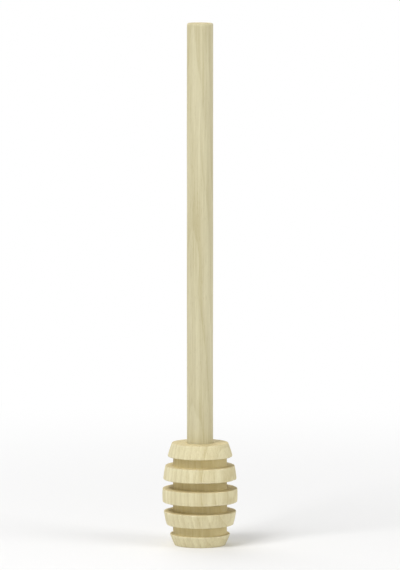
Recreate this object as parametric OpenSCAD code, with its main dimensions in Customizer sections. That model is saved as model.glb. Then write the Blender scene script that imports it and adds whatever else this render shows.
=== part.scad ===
// Honey dipper: a ribbed, lathe-turned head glued onto a plain dowel handle.
// It stands head down. The origin is the centre of the head's flat tip, and +Z runs up the handle.

/* [Head] */
// Number of ribs
rib_count = 5; // [4:1:7]
// Thickness of one rib along the axis
rib_thickness = 4.2; // [3.4:0.1:5]
// Thickness of the rib at the tip, which is trimmed shorter than the others
tip_rib_thickness = 3.5; // [2.8:0.1:5]
// Width of one groove between two ribs
groove_width = 2.8; // [2:0.05:3.5]
// Diameter of the core, down to which every groove is cut
core_d = 16.5; // [15:0.1:17]
// Diameter of the head at its widest
belly_d = 23; // [21:0.5:27]
// Diameter of the flat tip
tip_d = 15.6; // [14:0.1:17]
// Diameter of the shoulder, where the handle leaves the head
shoulder_d = 17.3; // [15:0.1:18.5]
// Width of the broken edge on each rib
rib_edge = 0.3; // [0.1:0.1:0.6]

/* [Handle] */
// Diameter of the dowel
handle_d = 8; // [6:0.5:9]
// Length of the dowel that shows above the head
handle_reach = 128.5; // [90:0.5:200]
// Width of the broken edge on both ends of the dowel
handle_edge = 0.5; // [0.2:0.1:0.8]

/* [Glued joint] */
// Solid wood left between the drilled socket and the tip
tip_wall = 12; // [9:0.5:14]
// Slope of the hollow that the drill's point leaves, in degrees
drill_slope = 31; // [20:1:40]
// Room for glue round the dowel at the socket's mouth, and under its end
glue_gap = 0.1; // [0.05:0.05:0.2]
// Depth below the shoulder at which the glue stops
glue_depth = 0.8; // [0.6:0.1:1.5]
// Wood sanded off the dowel's radius at its glued end, tapering to none at the socket's mouth
taper = 0.3; // [0.1:0.05:0.5]

/* [Hidden] */

// Sides of a full turn, and straight steps along one rim
round_sides = 128;
rim_steps = 4;
// How far a cutting shape runs past the face that it opens
overshoot = 1;

rib_pitch = rib_thickness + groove_width;
tip_trim = rib_thickness - tip_rib_thickness;
head_len = rib_count * rib_pitch - groove_width - tip_trim;
core_r = core_d / 2;
handle_r = handle_d / 2;
handle_top = head_len + handle_reach;
tenon_r = handle_r - taper;
socket_r = handle_r + glue_gap;
drill_point = socket_r * tan(drill_slope);
// The dowel is driven in until only glue is left between the rim of its end and the drill's hollow
handle_start = tip_wall + (tenon_r - handle_edge) * tan(drill_slope) + glue_gap;

// Radius of an arc that falls by drop over a run along the axis, and is level where it starts
function arc_r(run, drop) = (run * run + drop * drop) / (2 * drop);

// Radius of the barrel at height z: two arcs that meet, level, halfway up the head
function barrel_r(z) =
    let(run = head_len / 2,
        end_d = z < run ? tip_d : shoulder_d,
        r = arc_r(run, (belly_d - end_d) / 2))
    belly_d / 2 - r + sqrt(r * r - (z - run) * (z - run));

// Heights of the two faces of rib i, counted up from the tip
function rib_low(i) = i == 0 ? 0 : i * rib_pitch - tip_trim;
function rib_high(i) = (i + 1) * rib_pitch - groove_width - tip_trim;

// Outline of rib i, from its lower face to its upper one, with both edges broken
function rib_outline(i) =
    let(low = rib_low(i),
        high = rib_high(i),
        run = high - low - 2 * rib_edge)
    [
        [barrel_r(low + rib_edge) - rib_edge, low],
        for (s = [0:rim_steps])
            let(z = low + rib_edge + run * s / rim_steps)
            [barrel_r(z), z],
        [barrel_r(high - rib_edge) - rib_edge, high]
    ];

// The two corners on the floor of the groove above rib i
function floor_outline(i) = [[core_r, rib_high(i)], [core_r, rib_low(i + 1)]];

function head_outline() = [
    [0, 0],
    for (i = [0:rib_count - 1]) each concat(
        rib_outline(i),
        i < rib_count - 1 ? floor_outline(i) : []
    ),
    [0, head_len]
];

// The drilled hole up to height top, with the drill's point at its bottom
module socket(top) {
    translate([0, 0, tip_wall])
        cylinder(h = drill_point, r1 = 0, r2 = socket_r, $fn = round_sides);
    translate([0, 0, tip_wall + drill_point])
        cylinder(h = top - tip_wall - drill_point, r = socket_r, $fn = round_sides);
}

module head() {
    color([0.87, 0.82, 0.63])
        difference() {
            rotate_extrude($fn = round_sides) polygon(head_outline());
            socket(head_len + overshoot);
        }
}

// Half the dowel's section: a tapered tenon in the socket, then a straight rod, with both ends broken
function handle_outline() = [
    [0, handle_start],
    [tenon_r - handle_edge, handle_start],
    [tenon_r, handle_start + handle_edge],
    [handle_r, head_len],
    [handle_r, handle_top - handle_edge],
    [handle_r - handle_edge, handle_top],
    [0, handle_top]
];

module handle() {
    color([0.84, 0.79, 0.61])
        rotate_extrude($fn = round_sides) polygon(handle_outline());
}

// Set glue: it fills what the dowel leaves free in the socket, and doesn't show at the mouth
module glue_line() {
    color([0.80, 0.68, 0.42])
        difference() {
            socket(head_len - glue_depth);
            handle();
        }
}

head();
handle();
glue_line();
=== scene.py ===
import math

import bpy
import numpy as np
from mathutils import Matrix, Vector


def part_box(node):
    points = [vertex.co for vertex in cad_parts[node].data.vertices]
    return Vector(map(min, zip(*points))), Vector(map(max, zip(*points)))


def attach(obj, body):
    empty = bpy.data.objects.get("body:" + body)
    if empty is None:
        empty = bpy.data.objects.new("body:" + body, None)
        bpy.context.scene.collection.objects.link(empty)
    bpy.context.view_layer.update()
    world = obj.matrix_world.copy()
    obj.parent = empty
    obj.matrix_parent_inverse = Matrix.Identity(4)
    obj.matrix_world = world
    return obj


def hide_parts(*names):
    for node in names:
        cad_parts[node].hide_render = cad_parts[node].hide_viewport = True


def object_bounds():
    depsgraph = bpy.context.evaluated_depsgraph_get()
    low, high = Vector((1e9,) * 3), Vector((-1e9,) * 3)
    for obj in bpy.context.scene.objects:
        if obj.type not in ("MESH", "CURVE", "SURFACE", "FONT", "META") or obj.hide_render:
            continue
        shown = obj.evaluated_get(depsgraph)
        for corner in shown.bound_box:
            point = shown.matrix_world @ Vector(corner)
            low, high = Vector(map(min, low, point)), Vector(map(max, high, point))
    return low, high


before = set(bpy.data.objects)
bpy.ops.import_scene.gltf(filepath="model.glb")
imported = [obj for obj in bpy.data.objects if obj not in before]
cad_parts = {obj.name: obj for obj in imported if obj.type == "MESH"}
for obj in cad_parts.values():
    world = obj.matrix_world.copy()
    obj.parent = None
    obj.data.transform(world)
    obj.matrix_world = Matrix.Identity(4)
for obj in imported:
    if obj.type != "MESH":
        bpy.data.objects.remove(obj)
cadLow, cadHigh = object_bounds()
headLow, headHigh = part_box("head")
handleLow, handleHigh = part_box("handle")
middle = (cadLow + cadHigh) / 2
mm = 0.001
print("frame loaded")


cameraSet = {
    "elevation": 6.0,        # degrees above level
    "distance": 1.5,         # metres from the middle of the dipper
    "heightInView": 0.174,   # metres of height that the frame holds there
    "sensor": 36.0,
}


def addCamera():
    data = bpy.data.cameras.new("camera")
    data.sensor_width = cameraSet["sensor"]
    data.lens = cameraSet["sensor"] * cameraSet["distance"] / cameraSet["heightInView"]
    camera = bpy.data.objects.new("camera", data)
    bpy.context.scene.collection.objects.link(camera)
    tilt = math.radians(cameraSet["elevation"])
    back = Vector((0, -math.cos(tilt), math.sin(tilt)))
    camera.location = middle + back * cameraSet["distance"]
    camera.rotation_mode = "QUATERNION"
    camera.rotation_quaternion = (-back).to_track_quat("-Z", "Y")
    bpy.context.scene.camera = camera


addCamera()
print("camera placed")


# short ways to build shader nodes
def addNode(tree, kind, **settings):
    node = tree.nodes.new(kind)
    for key, value in settings.items():
        setattr(node, key, value)
    return node


def feed(tree, value, socket):
    if isinstance(value, bpy.types.NodeSocket):
        tree.links.new(value, socket)
    else:
        socket.default_value = value


def calc(tree, operation, *values, clamp=False):
    node = addNode(tree, "ShaderNodeMath", operation=operation, use_clamp=clamp)
    for socket, value in zip(node.inputs, values):
        feed(tree, value, socket)
    return node.outputs[0]


def vecCalc(tree, operation, *values, output="Vector"):
    node = addNode(tree, "ShaderNodeVectorMath", operation=operation)
    for socket, value in zip(node.inputs, values):
        feed(tree, value, socket)
    return node.outputs[output]


def blendColors(tree, share, first, second, mode="MIX"):
    node = addNode(tree, "ShaderNodeMix", data_type="RGBA", blend_type=mode)
    feed(tree, share, node.inputs["Factor"])
    feed(tree, first, node.inputs[6])   # the colour sockets A and B
    feed(tree, second, node.inputs[7])
    return node.outputs[2]


def span(tree, value, low, high, newLow=0.0, newHigh=1.0):
    node = addNode(tree, "ShaderNodeMapRange", interpolation_type="SMOOTHSTEP")
    for socket, item in zip(node.inputs, (value, low, high, newLow, newHigh)):
        feed(tree, item, socket)
    return node.outputs[0]


def noise(tree, place, stretch, detail=2.0, roughness=0.5):
    node = addNode(tree, "ShaderNodeTexNoise")
    feed(tree, vecCalc(tree, "MULTIPLY", place, stretch), node.inputs["Vector"])
    node.inputs["Scale"].default_value = 1.0
    node.inputs["Detail"].default_value = detail
    node.inputs["Roughness"].default_value = roughness
    return node.outputs["Fac"]


def lineNoise(tree, along, detail, output="Fac"):
    node = addNode(tree, "ShaderNodeTexNoise", noise_dimensions="1D")
    feed(tree, along, node.inputs["W"])
    node.inputs["Scale"].default_value = 1.0
    node.inputs["Detail"].default_value = detail
    return node.outputs[output]


noiseMiddle = 0.5   # noise runs from 0 to 1 round this


def swing(tree, value, size):
    # a value from 0 to 1 as a swing of that size round zero
    return calc(tree, "MULTIPLY", calc(tree, "SUBTRACT", value, noiseMiddle), size)


def split(tree, vector):
    node = addNode(tree, "ShaderNodeSeparateXYZ")
    feed(tree, vector, node.inputs[0])
    return node.outputs


def join(tree, *values):
    node = addNode(tree, "ShaderNodeCombineXYZ")
    for socket, value in zip(node.inputs, values):
        feed(tree, value, socket)
    return node.outputs[0]


def flatten(tree, place):
    return vecCalc(tree, "MULTIPLY", place, (1.0, 1.0, 0.0))


def levelShare(tree):
    # 1 where the surface faces along the axis, 0 where it faces away from it
    facing = split(tree, addNode(tree, "ShaderNodeTexCoord").outputs["Normal"])["Z"]
    return calc(tree, "ABSOLUTE", facing)


def millimetres(tree):
    return vecCalc(tree, "MULTIPLY", addNode(tree, "ShaderNodeTexCoord").outputs["Object"], (1 / mm,) * 3)


def startGroup(name, inputs, outputs):
    tree = bpy.data.node_groups.new(name, "ShaderNodeTree")
    for label, (kind, value) in inputs.items():
        socket = tree.interface.new_socket(name=label, in_out="INPUT", socket_type="NodeSocket" + kind)
        socket.default_value = value
    for label, kind in outputs.items():
        tree.interface.new_socket(name=label, in_out="OUTPUT", socket_type="NodeSocket" + kind)
    given = addNode(tree, "NodeGroupInput").outputs
    result = addNode(tree, "NodeGroupOutput").inputs
    return tree, given, result


def useGroup(tree, group, **values):
    node = addNode(tree, "ShaderNodeGroup", node_tree=group)
    for label, value in values.items():
        feed(tree, value, node.inputs[label])
    return node.outputs


figureSet = {                       # stretches are cells per millimetre across and along the grain
    "wander": 0.02,
    "wanderDetail": 2.0,
    "wanderSize": (2.4, 2.4, 0.0),
    "uneven": (0.14, 0.14, 0.012),
    "unevenSize": 1.4,              # in ring widths
    "ringFall": 2.2,                # how late in the year's growth the wood darkens
    "ringEnd": 0.94,                # where in the year the dark wood starts to give way again
    "rayCount": 85.0,
    "ray": (1.0, 0.18, 0.22),
    "rayEdge": (0.55, 0.7),
    "fibre": (2.4, 2.4, 0.05),
    "fibreDetail": 4.0,
    "fibreRoughness": 0.62,
    "fibreSwing": 1.7,
    "fine": (9.0, 9.0, 0.25),
    "fineSwing": 0.7,
    "broad": (0.3, 0.3, 0.02),
    "broadSwing": 1.5,
    "dash": (6.5, 6.5, 0.45),
    "dashEdge": (0.6, 0.74),
    "dashSink": -0.8,
    "plainDetail": 1.0,             # for the rays, the broad streaks and the dashes
    "tone": 0.35,                   # the middle tone, from pale to deep
}


def makeWoodFigure():
    # growth rings round a pith outside the piece, rays out from it and fibres along it
    tree, given, result = startGroup(
        "woodFigure",
        {
            "Place": ("Vector", (0.0, 0.0, 0.0)),
            "Pith": ("Vector", (-30.0, 20.0, 0.0)),
            "Lean": ("Vector", (0.02, 0.01, 0.0)),
            "RingWidth": ("Float", 1.8),
            "RingStrength": ("Float", 0.3),
            "FibreStrength": ("Float", 0.5),
            "DashStrength": ("Float", 0.3),
            "Pale": ("Color", (0.8, 0.7, 0.5, 1.0)),
            "Deep": ("Color", (0.6, 0.5, 0.3, 1.0)),
        },
        {"Color": "Color", "Ring": "Float", "Ray": "Float", "Height": "Float"},
    )
    place = given["Place"]
    upright = split(tree, place)["Z"]
    alongWander = calc(tree, "MULTIPLY", upright, figureSet["wander"])
    wander = lineNoise(tree, alongWander, figureSet["wanderDetail"], output="Color")
    drift = vecCalc(tree, "SUBTRACT", wander, (noiseMiddle,) * 3)
    drift = vecCalc(tree, "MULTIPLY", drift, figureSet["wanderSize"])
    lean = vecCalc(tree, "MULTIPLY", given["Lean"], join(tree, upright, upright, 0.0))
    fromPith = vecCalc(tree, "ADD", vecCalc(tree, "SUBTRACT", place, given["Pith"]), drift)
    fromPith = flatten(tree, vecCalc(tree, "ADD", fromPith, lean))
    distance = vecCalc(tree, "LENGTH", fromPith, output="Value")
    bearing = calc(tree, "ARCTAN2", split(tree, fromPith)["Y"], split(tree, fromPith)["X"])

    uneven = noise(tree, place, figureSet["uneven"])
    phase = calc(tree, "DIVIDE", distance, given["RingWidth"])
    phase = calc(tree, "MULTIPLY_ADD", uneven, figureSet["unevenSize"], phase)
    age = calc(tree, "FRACT", phase)
    ending = span(tree, age, figureSet["ringEnd"], 1.0, 1.0, 0.0)
    ring = calc(tree, "MULTIPLY", calc(tree, "POWER", age, figureSet["ringFall"]), ending)
    rayPlace = join(tree, calc(tree, "MULTIPLY", bearing, figureSet["rayCount"]), distance, upright)
    plain = figureSet["plainDetail"]
    ray = span(tree, noise(tree, rayPlace, figureSet["ray"], detail=plain), *figureSet["rayEdge"])

    fibre = noise(
        tree, place, figureSet["fibre"], detail=figureSet["fibreDetail"],
        roughness=figureSet["fibreRoughness"],
    )
    fine = noise(tree, place, figureSet["fine"])
    broad = noise(tree, place, figureSet["broad"], detail=plain)
    dash = span(tree, noise(tree, place, figureSet["dash"], detail=plain), *figureSet["dashEdge"])
    streaks = swing(tree, fibre, figureSet["fibreSwing"])
    streaks = calc(tree, "ADD", streaks, swing(tree, fine, figureSet["fineSwing"]))
    streaks = calc(tree, "ADD", streaks, swing(tree, broad, figureSet["broadSwing"]))
    tone = calc(tree, "MULTIPLY_ADD", streaks, given["FibreStrength"], figureSet["tone"])
    tone = calc(tree, "MULTIPLY_ADD", ring, given["RingStrength"], tone)
    tone = calc(tree, "MULTIPLY_ADD", dash, given["DashStrength"], tone, clamp=True)
    feed(tree, blendColors(tree, tone, given["Pale"], given["Deep"]), result["Color"])
    feed(tree, ring, result["Ring"])
    feed(tree, ray, result["Ray"])
    feed(tree, calc(tree, "MULTIPLY_ADD", dash, figureSet["dashSink"], fine), result["Height"])
    return tree


cutEndSet = {
    "cutEdge": (0.45, 0.95),   # how far the surface turns across the fibres
    "pores": (7.5, 7.5, 0.1),
    "poreEdge": (0.1, 0.3),
    "poreStrength": 0.22,
    "poreSink": -1.0,
    "ringStrength": 0.2,
    "rayStrength": 0.45,
    "poreColor": (0.16, 0.1, 0.04, 1.0),
}


def makeCutEnds():
    # a deeper tone, fine pores, ring lines and rays where the surface cuts across the fibres
    tree, given, result = startGroup(
        "cutEnds",
        {
            "Place": ("Vector", (0.0, 0.0, 0.0)),
            "Color": ("Color", (0.8, 0.7, 0.5, 1.0)),
            "Tint": ("Color", (0.8, 0.7, 0.5, 1.0)),
            "Ring": ("Float", 0.0),
            "Ray": ("Float", 0.0),
        },
        {"Color": "Color", "Height": "Float"},
    )
    cut = span(tree, levelShare(tree), *cutEndSet["cutEdge"])
    cells = addNode(tree, "ShaderNodeTexVoronoi")
    feed(tree, vecCalc(tree, "MULTIPLY", given["Place"], cutEndSet["pores"]), cells.inputs["Vector"])
    cells.inputs["Scale"].default_value = 1.0
    pore = span(tree, cells.outputs["Distance"], *cutEndSet["poreEdge"], 1.0, 0.0)
    tinted = blendColors(tree, 1.0, given["Color"], given["Tint"], mode="MULTIPLY")
    tinted = blendColors(tree, cut, given["Color"], tinted)
    lines = calc(tree, "MULTIPLY", pore, cutEndSet["poreStrength"])
    lines = calc(tree, "MULTIPLY_ADD", given["Ring"], cutEndSet["ringStrength"], lines)
    lines = calc(tree, "MULTIPLY", lines, cut)
    lined = blendColors(tree, lines, tinted, cutEndSet["poreColor"])
    rays = calc(tree, "MULTIPLY", calc(tree, "MULTIPLY", given["Ray"], cut), cutEndSet["rayStrength"])
    feed(tree, blendColors(tree, rays, lined, given["Color"]), result["Color"])
    sunk = calc(tree, "MULTIPLY", calc(tree, "MULTIPLY", pore, cut), cutEndSet["poreSink"])
    feed(tree, sunk, result["Height"])
    return tree


markSet = {
    "faceFrom": 0.7,            # how level a surface is when it counts as a face
    "wobble": (0.35, 0.35, 0.35),
    "wobbleDetail": 1.0,
    "markDetail": 2.0,
    "markEdge": (0.58, 0.72),
}


def makeToolMarks():
    # fine rings that a cutter leaves round the axis, on walls and on faces alike
    tree, given, result = startGroup(
        "toolMarks",
        {
            "Place": ("Vector", (0.0, 0.0, 0.0)),
            "Pitch": ("Float", 0.35),
            "Wobble": ("Float", 0.4),
        },
        {"Mask": "Float", "Height": "Float"},
    )
    place = given["Place"]
    level = calc(tree, "GREATER_THAN", levelShare(tree), markSet["faceFrom"])
    radius = vecCalc(tree, "LENGTH", flatten(tree, place), output="Value")
    along = calc(tree, "MULTIPLY", split(tree, place)["Z"], calc(tree, "SUBTRACT", 1.0, level))
    along = calc(tree, "MULTIPLY_ADD", radius, level, along)
    wobble = noise(tree, place, markSet["wobble"], detail=markSet["wobbleDetail"])
    along = calc(tree, "MULTIPLY_ADD", wobble, given["Wobble"], along)
    rings = lineNoise(tree, calc(tree, "DIVIDE", along, given["Pitch"]), markSet["markDetail"])
    feed(tree, span(tree, rings, *markSet["markEdge"]), result["Mask"])
    feed(tree, rings, result["Height"])
    return tree


wearSet = {
    "fuzz": (7.0, 7.0, 1.6),
    "fuzzDetail": 3.0,
    "fuzzFineness": 0.7,
    "fuzzEdge": (0.3, 0.65),
    "patch": (0.16, 0.16, 0.09),
    "patchDetail": 3.0,
    "patchEdge": (0.45, 0.75),
    "smudgeColor": (0.42, 0.36, 0.26, 1.0),
    "tornPale": 0.6,     # how far torn wood takes the colour of broken fibres
    "tornRough": 0.25,
    "fuzzRough": 0.16,
}


def makeBareWear():
    # pale broken fibres where the wood is torn, and the faint grey of handling
    tree, given, result = startGroup(
        "bareWear",
        {
            "Place": ("Vector", (0.0, 0.0, 0.0)),
            "Color": ("Color", (0.8, 0.7, 0.5, 1.0)),
            "Broken": ("Color", (0.92, 0.85, 0.67, 1.0)),
            "Torn": ("Float", 0.0),
            "Smudge": ("Float", 0.1),
            "Roughness": ("Float", 0.65),
        },
        {"Color": "Color", "Roughness": "Float", "Height": "Float"},
    )
    place = given["Place"]
    fuzz = noise(
        tree, place, wearSet["fuzz"], detail=wearSet["fuzzDetail"], roughness=wearSet["fuzzFineness"],
    )
    torn = calc(tree, "MULTIPLY", given["Torn"], span(tree, fuzz, *wearSet["fuzzEdge"]))
    pale = calc(tree, "MULTIPLY", torn, wearSet["tornPale"])
    color = blendColors(tree, pale, given["Color"], given["Broken"])
    patch = noise(tree, place, wearSet["patch"], detail=wearSet["patchDetail"])
    patch = span(tree, patch, *wearSet["patchEdge"])
    smudge = calc(tree, "MULTIPLY", patch, given["Smudge"])
    feed(tree, blendColors(tree, smudge, color, wearSet["smudgeColor"]), result["Color"])
    rough = calc(tree, "MULTIPLY_ADD", torn, wearSet["tornRough"], given["Roughness"])
    rough = calc(tree, "ADD", rough, swing(tree, fuzz, wearSet["fuzzRough"]), clamp=True)
    feed(tree, rough, result["Roughness"])
    feed(tree, calc(tree, "MULTIPLY", fuzz, given["Torn"]), result["Height"])
    return tree


woodFigure = makeWoodFigure()
cutEnds = makeCutEnds()
toolMarks = makeToolMarks()
bareWear = makeBareWear()
print("shared effects built")


turnedWoodSet = {
    "pale": (0.835, 0.775, 0.525, 1.0),
    "deep": (0.575, 0.49, 0.258, 1.0),
    "floorColor": (0.6, 0.47, 0.175, 1.0),    # painted shade at the bottom of the grooves, partly the colour of rubbed, rough-cut wood
    "grooveShadeAndRubShare": 0.5,
    "endTint": (0.92, 0.87, 0.77, 1.0),
    "pith": (-26.0, 17.0, 0.0),
    "lean": (0.05, -0.03, 0.0),
    "ringWidth": 1.9,
    "ringStrength": 0.33,
    "fibreStrength": 0.55,
    "dashStrength": 0.22,
    "cutterPitch": 0.34,
    "cutterWobble": 0.4,
    "cutterDepth": 0.7,
    "cutterTone": 0.08,
    "smudge": 0.1,
    "roughness": 0.7,
    "specular": 0.3,
    "bumpDepth": 0.05 * mm,
}
dowelWoodSet = {
    "pale": (0.72, 0.672, 0.462, 1.0),
    "deep": (0.495, 0.434, 0.24, 1.0),
    "floorColor": (0.45, 0.352, 0.16, 1.0),
    "grooveShadeAndRubShare": 0.0,
    "endTint": (0.90, 0.85, 0.74, 1.0),
    "pith": (22.0, 31.0, 0.0),
    "lean": (0.045, 0.025, 0.0),
    "ringWidth": 2.3,
    "ringStrength": 0.27,
    "fibreStrength": 0.62,
    "dashStrength": 0.3,
    "cutterPitch": 1.1,
    "cutterWobble": 0.4,
    "cutterDepth": 0.25,
    "cutterTone": 0.0,
    "smudge": 0.1,
    "roughness": 0.62,
    "specular": 0.3,
    "bumpDepth": 0.035 * mm,
}


reliefSet = {   # how deep each effect goes, as shares of bumpDepth
    "figure": 0.5,
    "ends": 0.8,
    "wear": 1.6,
}


def makeWood(name, wood):
    material = bpy.data.materials.new(name)
    material.use_nodes = True
    tree = material.node_tree
    shader = tree.nodes["Principled BSDF"]
    place = millimetres(tree)
    torn = addNode(tree, "ShaderNodeAttribute", attribute_name="torn").outputs["Fac"]
    recess = addNode(tree, "ShaderNodeAttribute", attribute_name="recess").outputs["Fac"]
    figure = useGroup(
        tree, woodFigure, Place=place, Pith=wood["pith"], Lean=wood["lean"], RingWidth=wood["ringWidth"],
        RingStrength=wood["ringStrength"], FibreStrength=wood["fibreStrength"],
        DashStrength=wood["dashStrength"], Pale=wood["pale"], Deep=wood["deep"],
    )
    ends = useGroup(
        tree, cutEnds, Place=place, Color=figure["Color"], Tint=wood["endTint"], Ring=figure["Ring"],
        Ray=figure["Ray"],
    )
    marks = useGroup(tree, toolMarks, Place=place, Pitch=wood["cutterPitch"], Wobble=wood["cutterWobble"])
    # the groove floors take a darker colour: painted shade, partly rubbed wood; the cutter rings are real
    # marks
    marksAndGrooveShade = calc(tree, "MULTIPLY", marks["Mask"], wood["cutterTone"])
    marksAndGrooveShade = calc(tree, "MULTIPLY_ADD", recess, wood["grooveShadeAndRubShare"], marksAndGrooveShade)
    toned = blendColors(tree, marksAndGrooveShade, ends["Color"], wood["floorColor"])
    wear = useGroup(
        tree, bareWear, Place=place, Color=toned, Torn=torn, Smudge=wood["smudge"],
        Roughness=wood["roughness"],
    )
    feed(tree, wear["Color"], shader.inputs["Base Color"])
    feed(tree, wear["Roughness"], shader.inputs["Roughness"])
    shader.inputs["Specular IOR Level"].default_value = wood["specular"]
    height = calc(tree, "MULTIPLY", figure["Height"], reliefSet["figure"])
    height = calc(tree, "MULTIPLY_ADD", marks["Height"], wood["cutterDepth"], height)
    height = calc(tree, "MULTIPLY_ADD", ends["Height"], reliefSet["ends"], height)
    height = calc(tree, "MULTIPLY_ADD", wear["Height"], reliefSet["wear"], height)
    bump = addNode(tree, "ShaderNodeBump")
    bump.inputs["Strength"].default_value = 1.0
    bump.inputs["Distance"].default_value = wood["bumpDepth"]
    feed(tree, height, bump.inputs["Height"])
    feed(tree, bump.outputs["Normal"], shader.inputs["Normal"])
    return material


glueSet = {
    "pale": (0.66, 0.5, 0.22, 1.0),
    "deep": (0.5, 0.34, 0.12, 1.0),
    "cloud": (0.9, 0.9, 0.5),
    "cloudDetail": 3.0,
    "cloudEdge": (0.2, 0.8),
    "roughness": (0.3, 0.5),
}


def makeGlue():
    material = bpy.data.materials.new("setGlue")
    material.use_nodes = True
    tree = material.node_tree
    shader = tree.nodes["Principled BSDF"]
    cloud = noise(tree, millimetres(tree), glueSet["cloud"], detail=glueSet["cloudDetail"])
    feed(tree, blendColors(tree, cloud, glueSet["pale"], glueSet["deep"]), shader.inputs["Base Color"])
    rough = span(tree, cloud, *glueSet["cloudEdge"], *glueSet["roughness"])
    feed(tree, rough, shader.inputs["Roughness"])
    return material


turnedWood = makeWood("turnedWood", turnedWoodSet)
dowelWood = makeWood("dowelWood", dowelWoodSet)
setGlue = makeGlue()
print("materials built")


def smoothField(seed, along, around, cell, cellsRound):
    # random values from -1 to 1 that change smoothly along an outline and close up round the axis
    rng = np.random.default_rng(seed)
    row = along / cell
    column = around * cellsRound
    grid = rng.uniform(-1.0, 1.0, (int(row.max()) + 2, cellsRound))
    rowLow = row.astype(int)
    columnLow = column.astype(int)
    rowShare = (row - rowLow)[:, None]
    columnShare = (column - columnLow)[None, :]
    rowShare = rowShare * rowShare * (3 - 2 * rowShare)
    columnShare = columnShare * columnShare * (3 - 2 * columnShare)
    columnLow = columnLow % cellsRound
    columnHigh = (columnLow + 1) % cellsRound
    rounds = grid[:, columnLow] * (1 - columnShare) + grid[:, columnHigh] * columnShare
    return rounds[rowLow] * (1 - rowShare) + rounds[rowLow + 1] * rowShare


def roundField(seed, around, cellsRound):
    # the same round one ring
    return smoothField(seed, np.zeros(1), around, 1.0, cellsRound)[0]


def upward(field):
    # a field from -1 to 1 as one from 0 to 1
    return 0.5 + 0.5 * field


def spread(values, turns):
    # one value for each point of an outline, repeated round the axis
    return np.repeat(values[:, None], turns, axis=1)


# an outline is half a section, from the axis round the outside and back to the axis:
# a list of (radius, height, what that place is)
def lineTo(outline, radius, height, step, place):
    fromRadius, fromHeight, _ = outline[-1]
    count = max(1, round(math.hypot(radius - fromRadius, height - fromHeight) / step))
    for i in range(1, count + 1):
        t = i / count
        newRadius = fromRadius + (radius - fromRadius) * t
        newHeight = fromHeight + (height - fromHeight) * t
        outline.append((newRadius, newHeight, place))


def arcRound(outline, centre, size, start, end, count, place):
    for i in range(1, count + 1):
        a = math.radians(start + (end - start) * i / count)
        outline.append((centre[0] + size * math.cos(a), centre[1] + size * math.sin(a), place))


def curveTo(outline, radiusAt, toHeight, step, place):
    fromHeight = outline[-1][1]
    count = max(1, round((toHeight - fromHeight) / step))
    for i in range(1, count + 1):
        z = fromHeight + (toHeight - fromHeight) * i / count
        outline.append((radiusAt(z), z, place))


def outlineArrays(outline):
    radius = np.array([point[0] for point in outline])
    height = np.array([point[1] for point in outline])
    place = np.array([point[2] for point in outline])
    along = np.concatenate([[0.0], np.cumsum(np.hypot(np.diff(radius), np.diff(height)))])
    return radius, height, along, place


def addTurned(name, radius, height, around, masks, material):
    # one closed mesh; the first and last rows of radius and height lie on the axis
    rows, turns = radius.shape
    angle = around * 2 * math.pi
    x = radius[1:-1] * np.cos(angle)
    y = radius[1:-1] * np.sin(angle)
    rings = np.stack([x, y, height[1:-1]], axis=-1).reshape(-1, 3)
    ends = [(0, 0, height[0, 0]), (0, 0, height[-1, 0])]
    verts = np.vstack([rings, ends])
    ring = np.arange((rows - 2) * turns).reshape(rows - 2, turns)
    onward = np.roll(ring, -1, axis=1)
    quads = np.stack([ring[:-1], onward[:-1], onward[1:], ring[1:]], axis=-1).reshape(-1, 4)
    first, last = len(rings), len(rings) + 1
    faces = quads.tolist()
    faces += [(first, onward[0, j], ring[0, j]) for j in range(turns)]
    faces += [(ring[-1, j], onward[-1, j], last) for j in range(turns)]
    mesh = bpy.data.meshes.new(name)
    mesh.from_pydata(verts.tolist(), [], faces)
    mesh.shade_smooth()
    for label, values in masks.items():
        full = np.concatenate([values[1:-1].reshape(-1), [values[0, 0], values[-1, 0]]])
        mesh.attributes.new(label, "FLOAT", "POINT").data.foreach_set("value", full.astype(np.float32))
    mesh.materials.append(material)
    piece = bpy.data.objects.new(name, mesh)
    bpy.context.scene.collection.objects.link(piece)
    return piece


headSet = {
    "ribs": 5,
    "ribThickness": 4.2 * mm,
    "tipRibThickness": 3.5 * mm,
    "coreRadius": 8.25 * mm,    # at the bottom of the grooves
    "tipRadius": 7.8 * mm,
    "shoulderRadius": 8.65 * mm,
    "edgeRound": 0.22 * mm,
    "edgeSteps": 5,
    "cornerRound": 0.16 * mm,
    "cornerSteps": 3,
    "boreRadius": 4.1 * mm,
    "boreBottom": 12 * mm,
    "drillSlope": 31.0,
    "centreRadius": 1.1 * mm,   # the lathe centre's mark in the tip
    "centreDepth": 0.45 * mm,
    "centreTorn": 0.7,
    "step": 0.23 * mm,
    "boreStep": 0.92 * mm,
    "mouthDepth": 0.69 * mm,    # the finely stepped part of the bore, which shows
    "turns": 256,
    "seed": 11,
    "chipSeed": 20,             # added to the seed, and one more for each edge
    "groupSeed": 60,
    "chips": 120,               # places for a loss round one edge
    "chipGroups": 19,
    "chipShare": 0.7,
    "groupShare": 0.8,
    "chipRarity": 0.55,
    "chipDepth": 0.25 * mm,     # the deepest loss at an edge
    "chipReach": 0.8 * mm,      # how far a loss runs from the edge
    "chipInward": 0.8,          # its shares across and along the axis
    "chipAlong": 0.6,
    "chipTorn": 2.5,
    "ragged": 0.022 * mm,       # the unevenness of every edge
    "soundFoot": 0.4,           # the share of all that at the edge it stands on
    "trueReach": 1 * mm,        # how far round the handle the shoulder runs true
    "outOfRound": 0.05 * mm,
    "outOfRoundCells": (6 * mm, 5),     # the size along the outline, and the number round the axis
    "floorTear": 0.035 * mm,
    "floorTearCells": (1.1 * mm, 150),
    "faceTear": 0.03 * mm,
    "faceTearCells": (0.7 * mm, 90),
}
bellyRadius = (headHigh.x - headLow.x) / 2
headLength = headHigh.z - headLow.z
tipTrim = headSet["ribThickness"] - headSet["tipRibThickness"]
ribPitch = (headLength - headSet["tipRibThickness"]) / (headSet["ribs"] - 1)
handleRadius = (handleHigh.x - handleLow.x) / 2


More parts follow.
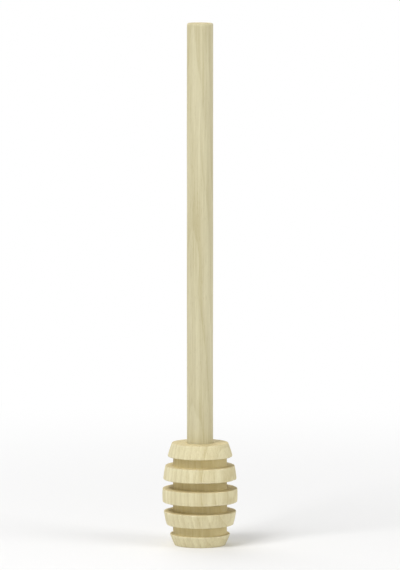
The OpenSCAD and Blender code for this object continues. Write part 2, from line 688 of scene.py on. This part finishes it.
def barrelRadius(z):
    run = headLength / 2
    end = headSet["tipRadius"] if z < run else headSet["shoulderRadius"]
    drop = bellyRadius - end
    arcRadius = (run * run + drop * drop) / (2 * drop)
    return bellyRadius - arcRadius + math.sqrt(arcRadius ** 2 - (z - run) ** 2)


def rimRound(z, side):
    # centre and outer angle of the round between the barrel and a level face
    # side is 1 where the rib lies above that face and -1 where it lies below
    size = headSet["edgeRound"]
    reach = 0.01 * mm
    slope = (barrelRadius(z + reach) - barrelRadius(z - reach)) / (2 * reach)
    centre = barrelRadius(z) + side * slope * size - size * math.sqrt(1 + slope * slope)
    return centre, -math.degrees(math.atan(slope))


def headOutline():
    edge = headSet["edgeRound"]
    edgeSteps = headSet["edgeSteps"]
    corner = headSet["cornerRound"]
    cornerSteps = headSet["cornerSteps"]
    floor = headSet["coreRadius"]
    step = headSet["step"]
    outline = [(0.0, headSet["centreDepth"], "mark")]
    lineTo(outline, headSet["centreRadius"] - edge / 2, edge / 2, step, "mark")
    lineTo(outline, headSet["centreRadius"], 0.0, edge / 2, "mark")
    edges = []
    for i in range(headSet["ribs"]):
        low = max(0.0, i * ribPitch - tipTrim)
        high = i * ribPitch + headSet["tipRibThickness"]
        lowCentre, lowTurn = rimRound(low, 1)
        highCentre, highTurn = rimRound(high, -1)
        lineTo(outline, lowCentre, low, step, "tip" if i == 0 else "face")
        arcRound(outline, (lowCentre, low + edge), edge, -90, lowTurn, edgeSteps, "edge")
        curveTo(outline, barrelRadius, high - edge + edge * math.sin(math.radians(highTurn)), step, "rim")
        arcRound(outline, (highCentre, high - edge), edge, highTurn, 90, edgeSteps, "edge")
        edges += [(barrelRadius(low), low, 1), (barrelRadius(high), high, -1)]
        if i < headSet["ribs"] - 1:
            nextLow = (i + 1) * ribPitch - tipTrim
            turn = floor + corner
            lineTo(outline, turn, high, step, "face")
            arcRound(outline, (turn, high + corner), corner, -90, -180, cornerSteps, "floor")
            lineTo(outline, floor, nextLow - corner, step, "floor")
            arcRound(outline, (turn, nextLow - corner), corner, 180, 90, cornerSteps, "floor")
    bore = headSet["boreRadius"]
    boreStep = headSet["boreStep"]
    drillPoint = bore * math.tan(math.radians(headSet["drillSlope"]))
    lineTo(outline, bore, headLength, step, "face")
    lineTo(outline, bore, headLength - headSet["mouthDepth"], step, "bore")
    lineTo(outline, bore, headSet["boreBottom"] + drillPoint, boreStep, "bore")
    lineTo(outline, 0.0, headSet["boreBottom"], boreStep, "bore")
    return outline, edges


def addHead():
    outline, edges = headOutline()
    radius, height, along, place = outlineArrays(outline)
    turns = headSet["turns"]
    around = np.arange(turns) / turns
    seed = headSet["seed"]
    ringRadius = spread(radius, turns)
    ringHeight = spread(height, turns)
    torn = headSet["centreTorn"] * spread(place == "mark", turns)

    # the blank ran a little out of true, and no two ribs are quite alike
    turned = ((place != "bore") & (radius > handleRadius + headSet["trueReach"]))[:, None]
    wave = smoothField(seed, along, around, *headSet["outOfRoundCells"])
    ringRadius += headSet["outOfRound"] * turned * wave

    # rough floors and faces
    floorMask = (place == "floor")[:, None]
    faceMask = (place == "face")[:, None]
    floorTear = smoothField(seed + 1, along, around, *headSet["floorTearCells"])
    faceTear = smoothField(seed + 2, along, around, *headSet["faceTearCells"])
    ringRadius += headSet["floorTear"] * floorMask * floorTear
    ringHeight += headSet["faceTear"] * faceMask * faceTear

    # losses along the rib edges
    for k, (edgeRadius, edgeHeight, inward) in enumerate(edges):
        fine = roundField(seed + headSet["chipSeed"] + k, around, headSet["chips"])
        group = roundField(seed + headSet["groupSeed"] + k, around, headSet["chipGroups"])
        loss = headSet["chipShare"] * fine + headSet["groupShare"] * group - headSet["chipRarity"]
        loss = headSet["chipDepth"] * np.clip(loss, 0, 1) + headSet["ragged"] * upward(fine)
        near = np.hypot(radius - edgeRadius, height - edgeHeight)
        weight = np.clip(1 - near / headSet["chipReach"], 0, 1) ** 2
        if edgeHeight <= 0:
            weight = weight * headSet["soundFoot"]
        loss = weight[:, None] * loss
        ringRadius -= headSet["chipInward"] * loss
        ringHeight += headSet["chipAlong"] * inward * loss
        torn = np.maximum(torn, np.clip(headSet["chipTorn"] * loss / headSet["chipDepth"], 0, 1))

    # recess marks the groove floors, where the wood material paints shade over partly rubbed wood
    masks = {"torn": torn, "recess": np.broadcast_to(floorMask * 1.0, ringRadius.shape)}
    piece = addTurned("turnedHead", ringRadius, ringHeight, around, masks, turnedWood)
    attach(piece, "root")
    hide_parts("head")


handleSet = {
    "edge": 0.5 * mm,
    "edgeLoss": 0.08 * mm,   # how unevenly the butt's edge was broken
    "edgeTorn": 0.35,
    "edgeTornSwing": 0.5,
    "taper": 0.3 * mm,       # off the radius at the glued end
    "step": 0.6 * mm,
    "hiddenStep": 1.2 * mm,
    "faceStep": 0.22 * mm,
    "hiddenFaceStep": 0.88 * mm,
    "edgeSteps": 7,
    "turns": 112,
    "seed": 301,
    "outOfRound": 0.025 * mm,
    "outOfRoundCells": (24 * mm, 4),
    "raisedGrain": 0.014 * mm,
    "raisedGrainCells": (14 * mm, 56),
    "edgeCells": 13,
    "sawDepth": 0.06 * mm,
    "sawMiddle": 0.5,        # the mean depth of the lines, as a share of sawDepth
    "sawPitch": 0.95 * mm,
    "sawSecond": 0.525,      # a second set of lines, as a share of the first one's frequency
    "sawShares": (0.3, 0.18),
    "sawTurn": 0.6,          # radians that the saw's lines are turned by
    "sawRadius": 90 * mm,
}


def addHandle():
    edge = handleSet["edge"]
    tenon = handleRadius - handleSet["taper"]
    outline = [(0.0, handleLow.z, "end")]
    lineTo(outline, tenon - edge, handleLow.z, handleSet["hiddenFaceStep"], "end")
    lineTo(outline, tenon, handleLow.z + edge, edge, "end")
    lineTo(outline, handleRadius, headLength, handleSet["hiddenStep"], "side")
    lineTo(outline, handleRadius, handleHigh.z - edge, handleSet["step"], "side")
    edgeCentre = (handleRadius - edge, handleHigh.z - edge)
    arcRound(outline, edgeCentre, edge, 0, 90, handleSet["edgeSteps"], "edge")
    lineTo(outline, 0.0, handleHigh.z, handleSet["faceStep"], "butt")
    radius, height, along, place = outlineArrays(outline)
    turns = handleSet["turns"]
    around = np.arange(turns) / turns
    seed = handleSet["seed"]
    ringRadius = spread(radius, turns)
    ringHeight = spread(height, turns)
    shown = ((place == "side") & (height > headLength + handleSet["step"]))[:, None]
    wave = smoothField(seed, along, around, *handleSet["outOfRoundCells"])
    grain = smoothField(seed + 1, along, around, *handleSet["raisedGrainCells"])
    ringRadius += shown * (handleSet["outOfRound"] * wave + handleSet["raisedGrain"] * grain)

    # the butt edge was broken by hand, and the saw left its lines on the butt
    edgeMask = (place == "edge")[:, None]
    buttMask = (place == "butt")[:, None]
    uneven = roundField(seed + 2, around, handleSet["edgeCells"])
    ringRadius -= handleSet["edgeLoss"] * edgeMask * upward(uneven)
    angle = around * 2 * math.pi - handleSet["sawTurn"]
    across = ringRadius * np.cos(angle) + (ringRadius * np.sin(angle)) ** 2 / handleSet["sawRadius"]
    phase = across / handleSet["sawPitch"] * 2 * math.pi
    first, second = handleSet["sawShares"]
    lines = first * np.sin(phase) + second * np.sin(handleSet["sawSecond"] * phase)
    ringHeight -= handleSet["sawDepth"] * buttMask * (handleSet["sawMiddle"] + lines)
    torn = np.clip(edgeMask * (handleSet["edgeTorn"] + handleSet["edgeTornSwing"] * uneven), 0, 1)
    masks = {"torn": torn, "recess": np.zeros_like(ringRadius)}
    piece = addTurned("dowelHandle", ringRadius, ringHeight, around, masks, dowelWood)
    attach(piece, "root")
    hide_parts("handle")


def dressGlue():
    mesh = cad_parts["glue_line"].data
    mesh.materials.clear()
    mesh.materials.append(setGlue)


addHead()
print("head turned")
addHandle()
print("handle made")
dressGlue()
print("glue dressed")


stageSet = {
    "floorSize": 6.0,        # metres
    "floorColor": (0.86, 0.86, 0.86, 1.0),
    "roughness": 0.8,
    "specular": 0.1,
    "plainRadius": 0.03,     # where the floor starts to pass into the white backdrop
    "whiteRadius": 0.34,
}
lightSet = {
    "key": {"place": (-0.42, -0.46, 0.86), "size": (0.45, 0.45), "power": 6.4},
    "right": {"place": (0.66, -0.34, 0.46), "size": (0.4, 0.6), "power": 2.3},
    "back": {"place": (-0.3, 0.75, 0.8), "size": (0.9, 0.9), "power": 3.6},
}
worldSet = {"color": (1.0, 0.995, 0.985, 1.0), "strength": 0.36}


def seenDirectly(tree):
    # 1 for what the camera sees, straight, mirrored or through glass
    path = addNode(tree, "ShaderNodeLightPath").outputs
    seen = calc(tree, "ADD", path["Is Camera Ray"], path["Is Glossy Ray"])
    return calc(tree, "ADD", seen, path["Is Transmission Ray"], clamp=True)


def addFloor():
    half = stageSet["floorSize"] / 2
    mesh = bpy.data.meshes.new("floor")
    corners = [(-half, -half, 0), (half, -half, 0), (half, half, 0), (-half, half, 0)]
    mesh.from_pydata(corners, [], [(0, 1, 2, 3)])
    material = bpy.data.materials.new("whiteFloor")
    material.use_nodes = True
    tree = material.node_tree
    shader = tree.nodes["Principled BSDF"]
    shader.inputs["Base Color"].default_value = stageSet["floorColor"]
    shader.inputs["Roughness"].default_value = stageSet["roughness"]
    shader.inputs["Specular IOR Level"].default_value = stageSet["specular"]
    white = addNode(tree, "ShaderNodeEmission")
    place = addNode(tree, "ShaderNodeTexCoord").outputs["Object"]
    away = vecCalc(tree, "LENGTH", place, output="Value")
    fade = span(tree, away, stageSet["plainRadius"], stageSet["whiteRadius"])
    mix = addNode(tree, "ShaderNodeMixShader")
    feed(tree, calc(tree, "MULTIPLY", fade, seenDirectly(tree)), mix.inputs[0])
    feed(tree, shader.outputs[0], mix.inputs[1])
    feed(tree, white.outputs[0], mix.inputs[2])
    feed(tree, mix.outputs[0], tree.nodes["Material Output"].inputs["Surface"])
    mesh.materials.append(material)
    floor = bpy.data.objects.new("floor", mesh)
    bpy.context.scene.collection.objects.link(floor)


def addLights():
    for name, lamp in lightSet.items():
        data = bpy.data.lights.new(name, "AREA")
        data.shape = "RECTANGLE"
        data.size, data.size_y = lamp["size"]
        data.energy = lamp["power"]
        light = bpy.data.objects.new(name, data)
        bpy.context.scene.collection.objects.link(light)
        light.location = lamp["place"]
        light.rotation_mode = "QUATERNION"
        light.rotation_quaternion = (middle - light.location).to_track_quat("-Z", "Y")


def setWorld():
    world = bpy.data.worlds.new("studio")
    bpy.context.scene.world = world
    world.use_nodes = True
    tree = world.node_tree
    light = tree.nodes["Background"]
    light.inputs["Color"].default_value = worldSet["color"]
    light.inputs["Strength"].default_value = worldSet["strength"]
    white = addNode(tree, "ShaderNodeBackground")
    white.inputs["Color"].default_value = (1.0, 1.0, 1.0, 1.0)
    mix = addNode(tree, "ShaderNodeMixShader")
    feed(tree, seenDirectly(tree), mix.inputs[0])
    feed(tree, light.outputs[0], mix.inputs[1])
    feed(tree, white.outputs[0], mix.inputs[2])
    feed(tree, mix.outputs[0], tree.nodes["World Output"].inputs["Surface"])


addFloor()
addLights()
setWorld()
bpy.context.scene.view_settings.view_transform = "Standard"
print("stage and lights set")
